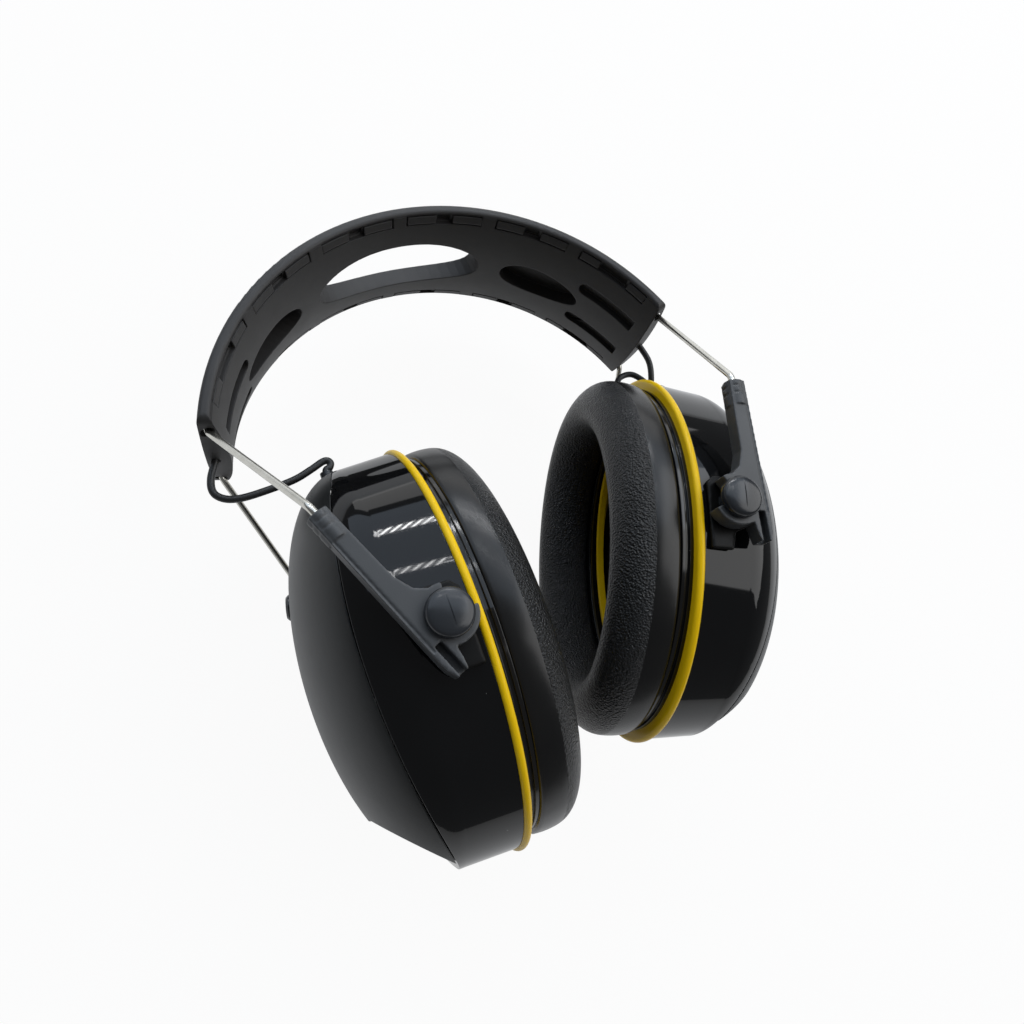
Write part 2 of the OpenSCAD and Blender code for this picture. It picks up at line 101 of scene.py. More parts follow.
view_dir = worn_direction(*CAMERA_LOOK)
view_up = worn_direction(*CAMERA_UP)
view_right = view_dir.cross(view_up).normalized()
view_up = view_right.cross(view_dir)
camera_data = bpy.data.cameras.new("camera")
camera_data.lens = CAMERA_LENS
camera_data.sensor_width = SENSOR_W
camera_data.clip_start = 0.01
camera = bpy.data.objects.new("camera", camera_data)
bpy.context.scene.collection.objects.link(camera)
camera.matrix_world = Matrix((
    (view_right.x, view_up.x, -view_dir.x, 0),
    (view_right.y, view_up.y, -view_dir.y, 0),
    (view_right.z, view_up.z, -view_dir.z, 0),
    (0, 0, 0, 1)))
camera.location = worn_point(*CAMERA_AT)
bpy.context.scene.camera = camera
bpy.context.scene.view_settings.view_transform = "Standard"

# ---------------------------------------------------------------- driving sizes, millimetres

# Headband: its outer radius, its top above the pivots, and the height of its centre
BAND_R = 75.0
CROWN_H = 119.4
BAND_Z = CROWN_H - BAND_R

# Spring wires: the radius and half spacing of their run in the headband, where they leave it and the arc
# before that, both in degrees, how far they step outward there, and the radii of their two bends
WIRE_D = 1.8
WIRE_R = BAND_R - 1.8
WIRE_Y = 14.6
WIRE_END = 69.9
WIRE_LEAD = 1.5
WIRE_OUT = 1.9
EXIT_BEND_R = 4
LEG_BEND_R = 3.4

# Straight legs: half spacing, lean from the upright, length, offset out of the pivot, and height of the bend
LEG_Y = 44.8
LEG_LEAN = math.radians(20.7)
LEG_L = 36
LEG_OUT = 5.8
BEND_UP = 35.2

# Cable: its run in the headband, where it leaves that in degrees, and how far its last run reaches out of and
# into the cup's top
CABLE_D = 2.0
CABLE_R = BAND_R - 2.4
CABLE_END = 72
CABLE_ABOVE = 0.6
CABLE_BELOW = 4.7

# Cups: the lean of each, the middle's height over the pivots, the half height, and in the cup's frame the
# cushion's base and the cable's sleeve
LEFT_TILT = math.radians(3.4)
RIGHT_TILT = math.radians(25)
CUP_LOW = -0.8
CUP_H = 54.1
CUSHION_U = -11.6
GROMMET_U = 8.4

# Arms and pins: an arm's thickness, a pin head's radius, and the play between them
ARM_T = 4.2
HEAD_R = 5.2
PIN_PLAY = 0.35


def cup_frame(side):
    """Cup frame, in millimetres: X outward, Z up, Y to the back. The left cup is the mirrored one."""
    tilt = LEFT_TILT if side == "left" else RIGHT_TILT
    pivot = Vector((-PIVOT_X if side == "left" else PIVOT_X, 0, 0)) * MM
    turn = WORN @ Matrix.Translation(pivot) @ Matrix.Rotation(tilt, 4, "Y")
    if side == "left":
        turn = turn @ Matrix.Scale(-1, 4, (1, 0, 0))
    return turn @ Matrix.Translation((0, 0, CUP_LOW * MM)) @ Matrix.Scale(MM, 4)


# ---------------------------------------------------------------- making tools


def deselect():
    bpy.ops.object.select_all(action="DESELECT")


def pick(piece):
    deselect()
    piece.select_set(True)
    bpy.context.view_layer.objects.active = piece


def apply_all(piece):
    pick(piece)
    for modifier in list(piece.modifiers):
        bpy.ops.object.modifier_apply(modifier=modifier.name)


def settle(piece, matrix):
    """Puts a piece made in its own frame in its place, with the place in its mesh."""
    piece.data.transform(matrix)
    if matrix.determinant() < 0:
        piece.data.flip_normals()
    return piece


def smooth(piece, degrees):
    pick(piece)
    bpy.ops.object.shade_smooth_by_angle(angle=math.radians(degrees))


def coat(piece, material):
    piece.data.materials.clear()
    piece.data.materials.append(material)


def finish_with(piece, material, body):
    coat(piece, material)
    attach(piece, body)


# ---------------------------------------------------------------- materials


class Finish:
    """A node material, built up one link at a time."""

    def __init__(self, name):
        self.material = bpy.data.materials.new(name)
        self.material.use_nodes = True
        self.nodes = self.material.node_tree.nodes
        self.links = self.material.node_tree.links
        self.shader = self.nodes["Principled BSDF"]
        self.place = self.nodes.new("ShaderNodeTexCoord").outputs["Object"]

    def set(self, **values):
        for name, value in values.items():
            self.shader.inputs[name.replace("_", " ")].default_value = value
        return self

    def noise(self, scale, detail, rough=0.5):
        node = self.nodes.new("ShaderNodeTexNoise")
        node.inputs["Scale"].default_value = scale
        node.inputs["Detail"].default_value = detail
        node.inputs["Roughness"].default_value = rough
        self.links.new(self.place, node.inputs["Vector"])
        return node.outputs["Fac"]

    def cells(self, scale, feature="SMOOTH_F1"):
        node = self.nodes.new("ShaderNodeTexVoronoi")
        node.feature = feature
        node.inputs["Scale"].default_value = scale
        self.links.new(self.place, node.inputs["Vector"])
        return node.outputs["Distance"]

    def ramp(self, value, stops):
        """Colours or grey levels at places from 0 to 1 along a value."""
        node = self.nodes.new("ShaderNodeValToRGB")
        ramp = node.color_ramp
        while len(ramp.elements) < len(stops):
            ramp.elements.new(0.5)
        for element, (at, color) in zip(ramp.elements, stops):
            element.position = at
            element.color = (*color, 1) if isinstance(color, tuple) else (color, color, color, 1)
        self.links.new(value, node.inputs["Fac"])
        return node.outputs["Color"]

    def mix(self, factor, a, b):
        """A blend from a to b. Each can be a number, a colour or a node's output."""
        node = self.nodes.new("ShaderNodeMix")
        node.data_type = "RGBA"
        for socket, value in (("Factor", factor), ("A", a), ("B", b)):
            target = [s for s in node.inputs if s.name == socket and s.enabled][0]
            if isinstance(value, (float, int)):
                target.default_value = value
            elif isinstance(value, tuple):
                target.default_value = (*value, 1)
            else:
                self.links.new(value, target)
        return [s for s in node.outputs if s.enabled][0]

    def both(self, a, b):
        """The product of two masks."""
        node = self.nodes.new("ShaderNodeMath")
        node.operation = "MULTIPLY"
        self.links.new(a, node.inputs[0])
        self.links.new(b, node.inputs[1])
        return node.outputs[0]

    def colour(self, value):
        self.links.new(value, self.shader.inputs["Base Color"])
        return self

    def roughness(self, value, low, high):
        """Roughness that wanders between low and high with a value."""
        node = self.nodes.new("ShaderNodeMapRange")
        node.inputs["To Min"].default_value = low
        node.inputs["To Max"].default_value = high
        self.links.new(value, node.inputs["Value"])
        self.links.new(node.outputs["Result"], self.shader.inputs["Roughness"])
        return self

    def relief(self, *layers, edge=0.0):
        """Bump layers, each (height, strength, depth in metres), over edges rounded by a radius."""
        normal = None
        if edge:
            node = self.nodes.new("ShaderNodeBevel")
            node.samples = 6
            node.inputs["Radius"].default_value = edge
            normal = node.outputs["Normal"]
        for height, strength, depth in layers:
            node = self.nodes.new("ShaderNodeBump")
            node.inputs["Strength"].default_value = strength
            node.inputs["Distance"].default_value = depth
            self.links.new(height, node.inputs["Height"])
            if normal:
                self.links.new(normal, node.inputs["Normal"])
            normal = node.outputs["Normal"]
        self.links.new(normal, self.shader.inputs["Normal"])
        return self


def moulded_plastic(name, dark, light, rough, grain, edge=0.0003, dust=0.0, grain_scale=2600, specular=0.5):
    """Moulded plastic: fine spark grain, a slow change of tone, and edges rounded by a radius in metres."""
    f = Finish(name)
    tone = f.ramp(f.noise(38, 4), [(0.35, dark), (0.68, light)])
    if dust:
        specks = f.ramp(f.cells(170, "F1"), [(0.0, 1.0), (0.022, 1.0), (0.03, 0.0)])
        some = f.ramp(f.noise(75, 1), [(0.52, 0.0), (0.56, dust)])
        tone = f.mix(f.both(specks, some), tone, (0.36, 0.36, 0.34))
    f.colour(tone)
    f.roughness(f.noise(160, 5, 0.6), *rough)
    f.set(Specular_IOR_Level=specular)
    f.relief((f.noise(grain_scale, 2), grain, 0.00006), edge=edge)
    return f.material


# Name, darkest and lightest tone, range of roughness, depth of grain
band_plastic = moulded_plastic(
    "band_plastic", (0.019, 0.0178, 0.0175), (0.027, 0.0255, 0.025), (0.46, 0.58), 0.3,
    edge=0.0005, grain_scale=1900)
shell_gloss = moulded_plastic(
    "shell_gloss", (0.0028, 0.003, 0.0034), (0.0042, 0.0044, 0.0048), (0.03, 0.07), 0.0,
    dust=0.7, specular=0.37)
cover_satin = moulded_plastic(
    "cover_satin", (0.0052, 0.0064, 0.0068), (0.0072, 0.0085, 0.009), (0.34, 0.4), 0.1,
    edge=0.0005, specular=0.34)
arm_satin = moulded_plastic(
    "arm_satin", (0.047, 0.05, 0.053), (0.06, 0.0635, 0.0675), (0.38, 0.5), 0.16, edge=0)
pin_gloss = moulded_plastic(
    "pin_gloss", (0.015, 0.0172, 0.0205), (0.023, 0.0258, 0.03), (0.18, 0.26), 0.06, edge=0)
bracket_gloss = moulded_plastic(
    "bracket_gloss", (0.004, 0.0039, 0.0038), (0.0065, 0.0063, 0.006), (0.3, 0.45), 0.1,
    edge=0, specular=0.14)
plate_gloss = moulded_plastic(
    "plate_gloss", (0.0035, 0.0033, 0.0032), (0.006, 0.0056, 0.0052), (0.06, 0.14), 0.02, dust=0.8)
cable_rubber = moulded_plastic(
    "cable_rubber", (0.014, 0.0145, 0.0145), (0.02, 0.0205, 0.0205), (0.36, 0.48), 0.2, edge=0)
inner_plastic = moulded_plastic(
    "inner_plastic", (0.02, 0.02, 0.021), (0.03, 0.03, 0.031), (0.45, 0.6), 0.2)


def yellow_gloss_finish():
    f = Finish("yellow_gloss")
    f.colour(f.ramp(f.noise(60, 3), [(0.3, (0.90, 0.565, 0.003)), (0.7, (0.96, 0.61, 0.004))]))
    f.roughness(f.noise(220, 4), 0.24, 0.36)
    f.set(Specular_IOR_Level=0.2)
    f.relief((f.noise(700, 2), 0.04, 0.00004), edge=0.0005)
    return f.material


def wire_finish():
    f = Finish("spring_steel")
    f.colour(f.ramp(f.noise(260, 4), [(0.3, (0.60, 0.585, 0.53)), (0.7, (0.71, 0.695, 0.64))]))
    f.roughness(f.noise(300, 3), 0.2, 0.3)
    f.set(Metallic=1.0)
    f.relief((f.noise(700, 2), 0.02, 0.00002))
    return f.material


def foam_finish():
    f = Finish("open_foam")
    pore_depth_and_shade = f.cells(900)
    # The pores' dark middles are painted shade in their hollows; the same cells also give the pores' bumps.
    f.colour(f.ramp(pore_depth_and_shade, [(0.15, (0.004, 0.004, 0.004)), (0.55, (0.028, 0.027, 0.026))]))
    f.set(Roughness=0.95)
    f.relief((pore_depth_and_shade, 0.8, 0.0008), (f.noise(400, 3), 0.5, 0.0008))
    return f.material


def cushion_finish():
    """Vinyl skin: smooth at the side, pebble-grained on the face; the grain attribute tells which."""
    f = Finish("cushion_vinyl")
    node = f.nodes.new("ShaderNodeAttribute")
    node.attribute_name = "grain"
    grain = f.ramp(node.outputs["Fac"], [(0.42, 0.0), (0.52, 1.0)])
    pebbles = f.cells(1700, "F1")
    worms = f.noise(2200, 2, 0.6)
    height = f.mix(grain, (0.5, 0.5, 0.5), f.mix(0.5, pebbles, worms))
    tone = f.noise(70, 4)
    side = f.ramp(tone, [(0.3, (0.005, 0.005, 0.005)), (0.7, (0.008, 0.0078, 0.0076))])
    face = f.ramp(tone, [(0.3, (0.01, 0.0101, 0.0103)), (0.7, (0.015, 0.0151, 0.0153))])
    f.colour(f.mix(grain, side, face))
    f.roughness(grain, 0.26, 0.3)
    f.set(Specular_IOR_Level=0.42)
    f.relief((f.noise(60, 2), 0.25, 0.0012), (height, 1.0, 0.0007))
    return f.material


def board_finish():
    f = Finish("circuit_board")
    traces = f.cells(420, "DISTANCE_TO_EDGE")
    f.colour(f.ramp(traces, [(0.02, (0.30, 0.22, 0.06)), (0.05, (0.006, 0.06, 0.02))]))
    f.set(Roughness=0.35)
    f.relief((traces, 0.3, 0.0002))
    return f.material


def cell_finish():
    f = Finish("battery_wrap")
    f.colour(f.ramp(f.noise(120, 2), [(0.4, (0.10, 0.10, 0.11)), (0.6, (0.13, 0.13, 0.14))]))
    f.roughness(f.noise(300, 3), 0.25, 0.4)
    f.relief((f.noise(800, 2), 0.05, 0.0001))
    return f.material


yellow_gloss = yellow_gloss_finish()
spring_steel = wire_finish()
open_foam = foam_finish()
cushion_vinyl = cushion_finish()
circuit_green = board_finish()
battery_wrap = cell_finish()

# What each CAD node that stays in view is finished with
FINISH = {
    "headband": band_plastic, "band_cable": cable_rubber,
    "front_arm": arm_satin, "rear_arm": arm_satin,
    "side_shell": shell_gloss, "outer_cover": cover_satin, "trim_ring": yellow_gloss,
    "seal_plate": plate_gloss, "foam_liner": open_foam, "speaker": inner_plastic,
    "pivot_brackets": bracket_gloss, "pivot_pins": pin_gloss, "cable_grommet": pin_gloss,
    "circuit_board": circuit_green, "power_button": pin_gloss,
    "battery_holder": inner_plastic, "batteries": battery_wrap}
for node, piece in frame["nodes"].items():
    plain = node.replace("left_", "").replace("right_", "")
    if plain in FINISH:
        coat(piece, FINISH[plain])

# ---------------------------------------------------------------- wires and cables

TUBE_ROUNDNESS = 8


def tube(name, points, diameter):
    """A round tube along a line of worn-frame points."""
    deselect()
    bpy.ops.curve.primitive_nurbs_path_add()
    piece = bpy.context.object
    piece.name = name
    line = piece.data
    line.splines.clear()
    spline = line.splines.new("POLY")
    spline.points.add(len(points) - 1)
    for target, p in zip(spline.points, points):
        target.co = (*worn_point(*p), 1)
    line.dimensions = "3D"
    line.bevel_depth = diameter / 2 * MM
    line.bevel_resolution = TUBE_ROUNDNESS
    line.use_fill_caps = True
    pick(piece)
    bpy.ops.object.convert(target="MESH")
    for polygon in piece.data.polygons:
        polygon.use_smooth = len(polygon.vertices) == 4
    return piece


def arc_point(degrees, radius, y):
    """A point on an arc about the headband's centre, in degrees from the crown towards the right cup."""
    a = math.radians(degrees)
    return Vector((radius * math.sin(a), y, BAND_Z + radius * math.cos(a)))


def leg_point(up, side):
    """A point of a right leg, so far up it from the pivot's level. The side is -1 in front and 1 behind."""
    out = Vector((math.cos(LEG_LEAN), 0, -math.sin(LEG_LEAN)))
    along = Vector((math.sin(LEG_LEAN), 0, math.cos(LEG_LEAN)))
    return Vector((PIVOT_X, side * LEG_Y, 0)) + LEG_OUT * out + up * along


def rounded_corner(a, b, c, radius, steps=10):
    """Points that round the corner b of a, b, c."""
    u, v = (a - b).normalized(), (c - b).normalized()
    half = u.angle(v) / 2
    centre = b + (u + v).normalized() * radius / math.sin(half)
    reach = radius / math.tan(half)
    start, end = b + u * reach - centre, b + v * reach - centre
    return [centre + radius * start.lerp(end, k / steps).normalized() for k in range(steps + 1)]


def wire_half(side):
    """A wire's right half: out of the headband's end, over the shoulder and down the leg."""
    a = math.radians(WIRE_END)
    inside = arc_point(WIRE_END - WIRE_LEAD, WIRE_R, side * WIRE_Y)
    outside = arc_point(WIRE_END, WIRE_R, side * WIRE_Y) + WIRE_OUT * Vector((math.cos(a), 0, -math.sin(a)))
    shoulder = leg_point(BEND_UP, side)
    return (rounded_corner(inside, outside, shoulder, EXIT_BEND_R)
        + rounded_corner(outside, shoulder, leg_point(0, side), LEG_BEND_R)
        + [leg_point(BEND_UP - LEG_L, side)])


def mirrored(points):
    """The same line on the left, run the other way."""
    return [Vector((-p.x, p.y, p.z)) for p in reversed(points)]


# The wires' run over the crown ends this many degrees from it, where their halves begin
OVER_END = 68

for name, side in (("front_wire", -1), ("rear_wire", 1)):
    half = wire_half(side)
    over = [arc_point(a, WIRE_R, side * WIRE_Y) for a in range(-OVER_END, OVER_END + 1, 2)]
    wire = tube(name + "_bar", mirrored(half) + over + half, WIRE_D)
    finish_with(wire, spring_steel, "band")
    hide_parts(name)

# Routes of the two loops, from the headband's end to the sleeve's mouth
LEFT_CABLE = [(-72, 0, 61.6), (-72.6, 0, 57.6), (-70.4, 0, 55), (-66.3, 0, 53.9), (-59.5, 0, 54.0),
    (-52.2, 0, 54.7), (-47, 0, 56.2), (-43.6, 0, 57.4), (-42.1, 0, 57.3), (-41.6, 0, 56.3), (-42.3, 0, 55.2)]
RIGHT_CABLE = [(70.1, 0.5, 60), (69, 2, 54.5), (68, 4.5, 51.6), (69, 6, 55), (65.8, 6.5, 59.4), (61, 7, 59.5),
    (57.5, 5.5, 55.5), (58.5, 3, 51.5), (63, 1.5, 51.3), (67.8, 0.3, 50.1), (70.3, 0, 47.8)]


def cable_entry(side):
    """The last run of the cable, down through its sleeve into the leaning cup."""
    sign, tilt = (-1, LEFT_TILT) if side == "left" else (1, RIGHT_TILT)
    run = []
    for up in (CUP_H + CABLE_ABOVE, CUP_H - CABLE_BELOW):
        w = up + CUP_LOW
        run.append((sign * (PIVOT_X + GROMMET_U * math.cos(tilt)) + w * math.sin(tilt), 0,
            w * math.cos(tilt) - sign * GROMMET_U * math.sin(tilt)))
    return run


def smooth_line(points, steps):
    """A Catmull-Rom curve through the points."""
    p = [Vector(q) for q in points]
    line = []
    for i in range(len(p) - 1):
        a, b, c, d = p[max(i - 1, 0)], p[i], p[i + 1], p[min(i + 2, len(p) - 1)]
        for k in range(steps):
            t = k / steps
            line.append(b + (c - a) * t / 2 + (a * 2 - b * 5 + c * 4 - d) * t * t / 2
                + (b * 3 - a - c * 3 + d) * t ** 3 / 2)
    return line + [p[-1]]


# Points of the line between two points of a route
CABLE_STEPS = 8

# Each loop is two pieces: the first runs from the headband's end towards the arms, the second from there into
# the cup
for side, loop in (("left", LEFT_CABLE), ("right", RIGHT_CABLE)):
    start = arc_point(CABLE_END if side == "right" else -CABLE_END, CABLE_R, 0)
    line = smooth_line([start] + loop + cable_entry(side), CABLE_STEPS)
    half = len(line) // 2
    arms, cup = side + "_arms", side + "_cup"
    for part, run, a, b in (("band_end", line[:half + 1], "band", arms), ("cup_end", line[half:], arms, cup)):
        piece = tube(f"{side}_cable_{part}", run, CABLE_D)
        coat(piece, cable_rubber)
        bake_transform(piece)
        if part == "band_end":
            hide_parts(side + "_cable")

# ---------------------------------------------------------------- arms and pivot pins

# Copies of CAD nodes: their loose triangles are merged within this distance, in metres
CAD_MERGE = 0.000002
# The copies' voxels in millimetres, and the rounds of smoothing that soften their corners
ARM_VOXEL = 0.2
ARM_ROUNDS = 8
BRACKET_VOXEL = 0.25
BRACKET_ROUNDS = 26


def soft_copy(node, name, voxel, rounds, filler=None):
    """A copy of a CAD node, with a filler joined to it, whose corners are rounded off as a moulding's are."""
    piece = bpy.data.objects.new(name, frame["nodes"][node].data.copy())
    bpy.context.scene.collection.objects.link(piece)
    piece.matrix_world = Matrix.Identity(4)
    pick(piece)
    bpy.ops.object.mode_set(mode="EDIT")
    bpy.ops.mesh.select_all(action="SELECT")
    bpy.ops.mesh.remove_doubles(threshold=CAD_MERGE)
    bpy.ops.object.mode_set(mode="OBJECT")
    if filler:
        filler.select_set(True)
        bpy.ops.object.join()
    remesh = piece.modifiers.new("even", "REMESH")
    remesh.mode = "VOXEL"
    remesh.voxel_size = voxel * MM
    relax = piece.modifiers.new("corners", "SMOOTH")
    relax.factor = 0.5
    relax.iterations = rounds
    apply_all(piece)
    for polygon in piece.data.polygons:
        polygon.use_smooth = True
    return piece


# The slit in an arm's face: how far out from the pivot and up along the leg its middle is, how much of its
# depth stays open, and the filler's width, depth and length
SLIT_OUT = LEG_OUT + 1.65
SLIT_UP = 11
SLIT_LEFT = 0.3
FILLER = (0.9, 1.1, 30.4)
ARM_FACE = LEG_Y + ARM_T / 2


def slit_filler(side, end):
    """Fills the bottom of the slit, so that it shows as the fine line of a moulding."""
    sign, face = (-1 if side == "left" else 1), (-1 if end == "front" else 1)
    out = Vector((math.cos(LEG_LEAN) * sign, 0, -math.sin(LEG_LEAN)))
    along = Vector((math.sin(LEG_LEAN) * sign, 0, math.cos(LEG_LEAN)))
    place = (Vector((PIVOT_X * sign, 0, 0)) + out * SLIT_OUT + along * SLIT_UP
        + Vector((0, face * (ARM_FACE - SLIT_LEFT - FILLER[1] / 2), 0)))
    deselect()
    bpy.ops.mesh.primitive_cube_add(size=1)
    piece = bpy.context.object
    box = Matrix((
        (out.x, 0, along.x, place.x),
        (out.y, 1, along.y, place.y),
        (out.z, 0, along.z, place.z),
        (0, 0, 0, 1))) @ Matrix.Diagonal((*FILLER, 1))
    return settle(piece, WORN @ Matrix.Scale(MM, 4) @ box)


for side in ("left", "right"):
    for end in ("front", "rear"):
        arm = soft_copy(f"{side}_{end}_arm", f"{side}_{end}_arm_moulding", ARM_VOXEL, ARM_ROUNDS,
            slit_filler(side, end))
        finish_with(arm, arm_satin, side + "_arms")
        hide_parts(f"{side}_{end}_arm")

for side in ("left", "right"):
    bracket = soft_copy(side + "_pivot_brackets", side + "_bracket_moulding", BRACKET_VOXEL, BRACKET_ROUNDS)
    finish_with(bracket, bracket_gloss, side + "_cup")
    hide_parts(side + "_pivot_brackets")

# Half section of a pin, from its inner end to the top of its head: (radius, distance from the middle plane)
PIN_R = 3
PIN_IN = LEG_Y - ARM_T / 2 - PIN_PLAY
PIN_OUT = LEG_Y + ARM_T / 2 + PIN_PLAY
PIN_SECTION = [(0, PIN_IN), (PIN_R - 0.3, PIN_IN), (PIN_R, PIN_IN + 0.3), (PIN_R, PIN_OUT),
    (HEAD_R - 0.25, PIN_OUT), (HEAD_R, PIN_OUT + 0.25), (HEAD_R, PIN_OUT + 1.25),
    (HEAD_R - 0.12, PIN_OUT + 1.7), (HEAD_R - 0.42, PIN_OUT + 2.1), (HEAD_R - 0.85, PIN_OUT + 2.35),
    (3.2, PIN_OUT + 2.58), (2, PIN_OUT + 2.72), (0.9, PIN_OUT + 2.79), (0, PIN_OUT + 2.8)]
PIN_STEPS = 96
PIN_MERGE = 0.0001
# The fine line across a head: the height of the cutter's middle, and its size
LINE_UP = PIN_OUT + 3.2
LINE = (0.24, 2 * HEAD_R + 2, 1.3)


def pin(name, end):
    """A pin with its round button head and the fine line across it, in millimetres about the pivot."""
    mesh = bpy.data.meshes.new(name)
    edges = [(k, k + 1) for k in range(len(PIN_SECTION) - 1)]
    mesh.from_pydata([(r, 0, z) for r, z in PIN_SECTION], edges, [])
    piece = bpy.data.objects.new(name, mesh)
    bpy.context.scene.collection.objects.link(piece)
    turn = piece.modifiers.new("turn", "SCREW")
    turn.steps = turn.render_steps = PIN_STEPS
    turn.use_merge_vertices = True
    turn.merge_threshold = PIN_MERGE
    apply_all(piece)
    bpy.ops.object.mode_set(mode="EDIT")
    bpy.ops.mesh.select_all(action="SELECT")
    bpy.ops.mesh.remove_doubles(threshold=PIN_MERGE)
    bpy.ops.mesh.normals_make_consistent(inside=False)
    bpy.ops.object.mode_set(mode="OBJECT")
    deselect()
    bpy.ops.mesh.primitive_cube_add(size=1, location=(0, 0, LINE_UP))
    cutter = bpy.context.object
    cutter.scale = LINE
    pick(cutter)
    bpy.ops.object.transform_apply(location=True, rotation=True, scale=True)
    line = piece.modifiers.new("line", "BOOLEAN")
    line.operation = "DIFFERENCE"
    line.solver = "EXACT"
    line.object = cutter
    apply_all(piece)
    bpy.data.objects.remove(cutter)
    piece.data.transform(Matrix.Rotation(math.radians(90), 4, "X"))
    if end == "rear":
        piece.data.transform(Matrix.Scale(-1, 4, (0, 1, 0)))
        piece.data.flip_normals()
    return piece


for side in ("left", "right"):
    for end in ("front", "rear"):
        button = pin(f"{side}_{end}_pin_button", end)
        settle(button, cup_frame(side) @ Matrix.Translation((0, 0, -CUP_LOW)))
        smooth(button, degrees=40)
        finish_with(button, pin_gloss, side + "_cup")
        if end == "front":
            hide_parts(side + "_pivot_pins")

# ---------------------------------------------------------------- ear cushions

# Section of a cushion, as (distance in from its side, u), over the face to the hole and back along the base
SECTION = [(0, -17.2), (0.3, -20.1), (2.3, -23.0), (5.6, -25.2), (8.9, -26.3), (11.9, -26.1), (14.6, -23.7),
    (16.2, -19.4), (16.4, -15), (15.6, CUSHION_U), (0.5, CUSHION_U), (0, -14.2)]
# Points of the section: the side's edge towards the face, the two corners of the base, and the side's foot
SIDE_EDGE = 0
HOLE_BASE = 9
SIDE_BASE = 10
SIDE_FOOT = 11
CREASES = {SIDE_EDGE: 0.3, HOLE_BASE: 0.8, SIDE_BASE: 0.95}
# Half sizes of the oval at the cushion's side, and the sections round it
SEAM_W = CUP_H - 1.7
SEAM_Y = 40.0
CUSHION_ROUNDS = 150
# How far the skin may swell, in metres, and the frames that it is given
SWELL_CAP = 0.0010
SWELL_FRAMES = 20


def cushion_mesh(name):
    """The section swept round the oval, as one closed skin, in the cup frame."""
    m = len(SECTION)
    points, faces = [], []
    for i in range(CUSHION_ROUNDS):
        a = 2 * math.pi * i / CUSHION_ROUNDS
        c, s = math.cos(a), math.sin(a)
        out = Vector((SEAM_W * c, SEAM_Y * s)).normalized()
        for inward, u in SECTION:
            points.append((u, SEAM_Y * c - inward * out.x, SEAM_W * s - inward * out.y))
    for i in range(CUSHION_ROUNDS):
        for k in range(m):
            j, l = (i + 1) % CUSHION_ROUNDS, (k + 1) % m
            faces.append((m * i + k, m * i + l, m * j + l, m * j + k))
    mesh = bpy.data.meshes.new(name)
    mesh.from_pydata(points, [], faces)
    piece = bpy.data.objects.new(name, mesh)
    bpy.context.scene.collection.objects.link(piece)
    return piece


def swell(piece, held):
    """Blows the skin up from inside, with the held points fixed, and keeps every move under the cap."""
    before = [v.co.copy() for v in piece.data.vertices]
    group = piece.vertex_groups.new(name="held")
    group.add(held, 1.0, "REPLACE")
    cloth = piece.modifiers.new("cloth", "CLOTH")
    cloth.settings.quality = 6
    cloth.settings.mass = 0.3
    cloth.settings.tension_stiffness = cloth.settings.compression_stiffness = 25
    cloth.settings.bending_stiffness = 1.0
    cloth.settings.use_pressure = True
    cloth.settings.uniform_pressure_force = 4.0
    cloth.settings.effector_weights.gravity = 0.0
    cloth.settings.vertex_group_mass = "held"
    cloth.collision_settings.use_collision = False
    cloth.point_cache.frame_start = 1
    cloth.point_cache.frame_end = SWELL_FRAMES
    scene = bpy.context.scene
    for k in range(1, SWELL_FRAMES + 1):
        scene.frame_set(k)
    apply_all(piece)
    scene.frame_set(1)
    piece.vertex_groups.clear()
    for v, old in zip(piece.data.vertices, before):
        move = v.co - old
        if move.length > SWELL_CAP:
            v.co = old + move * (SWELL_CAP / move.length)


def ear_cushion(side):
    """An ear cushion: the swollen skin, grained but for its side, with soft edges along side and base."""
    piece = cushion_mesh(f"{side}_cushion")
    m = len(SECTION)
    settle(piece, cup_frame(side))
    pick(piece)
    bpy.ops.object.mode_set(mode="EDIT")
    bpy.ops.mesh.select_all(action="SELECT")
    bpy.ops.mesh.normals_make_consistent(inside=False)
    bpy.ops.object.mode_set(mode="OBJECT")
    fixed = (SIDE_EDGE, HOLE_BASE, SIDE_BASE, SIDE_FOOT)
    swell(piece, [i for i in range(len(piece.data.vertices)) if i % m in fixed])
    grain = piece.data.attributes.new("grain", "FLOAT", "POINT")
    for i, v in enumerate(piece.data.vertices):
        grain.data[i].value = 0.0 if i % m in (SIDE_EDGE, SIDE_BASE, SIDE_FOOT) else 1.0
    crease = piece.data.attributes.new("crease_edge", "FLOAT", "EDGE")
    for i, e in enumerate(piece.data.edges):
        a, b = e.vertices
        if a % m == b % m:
            crease.data[i].value = CREASES.get(a % m, 0.0)
    sub = piece.modifiers.new("round", "SUBSURF")
    sub.levels = sub.render_levels = 2
    apply_all(piece)
    smooth(piece, degrees=60)
    finish_with(piece, cushion_vinyl, side + "_cup")
    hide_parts(side + "_ear_cushion")


for side in ("left", "right"):
    ear_cushion(side)

# ---------------------------------------------------------------- floor, light

FLOOR_W = 6
# The part of a backdrop's own white that the camera sees, and the part that metal and gloss show
FLOOR_SEEN = 0.94
FLOOR_MIRRORED = 0.45
ROOM_SEEN = 0.8
ROOM_MIRRORED = 0.0
# What the room gives as light
ROOM_LEVEL = 0.15

deselect()
bpy.ops.mesh.primitive_plane_add(size=FLOOR_W, location=(0, 0, cad_box[0].z))
floor = bpy.context.object
floor.name = "floor"


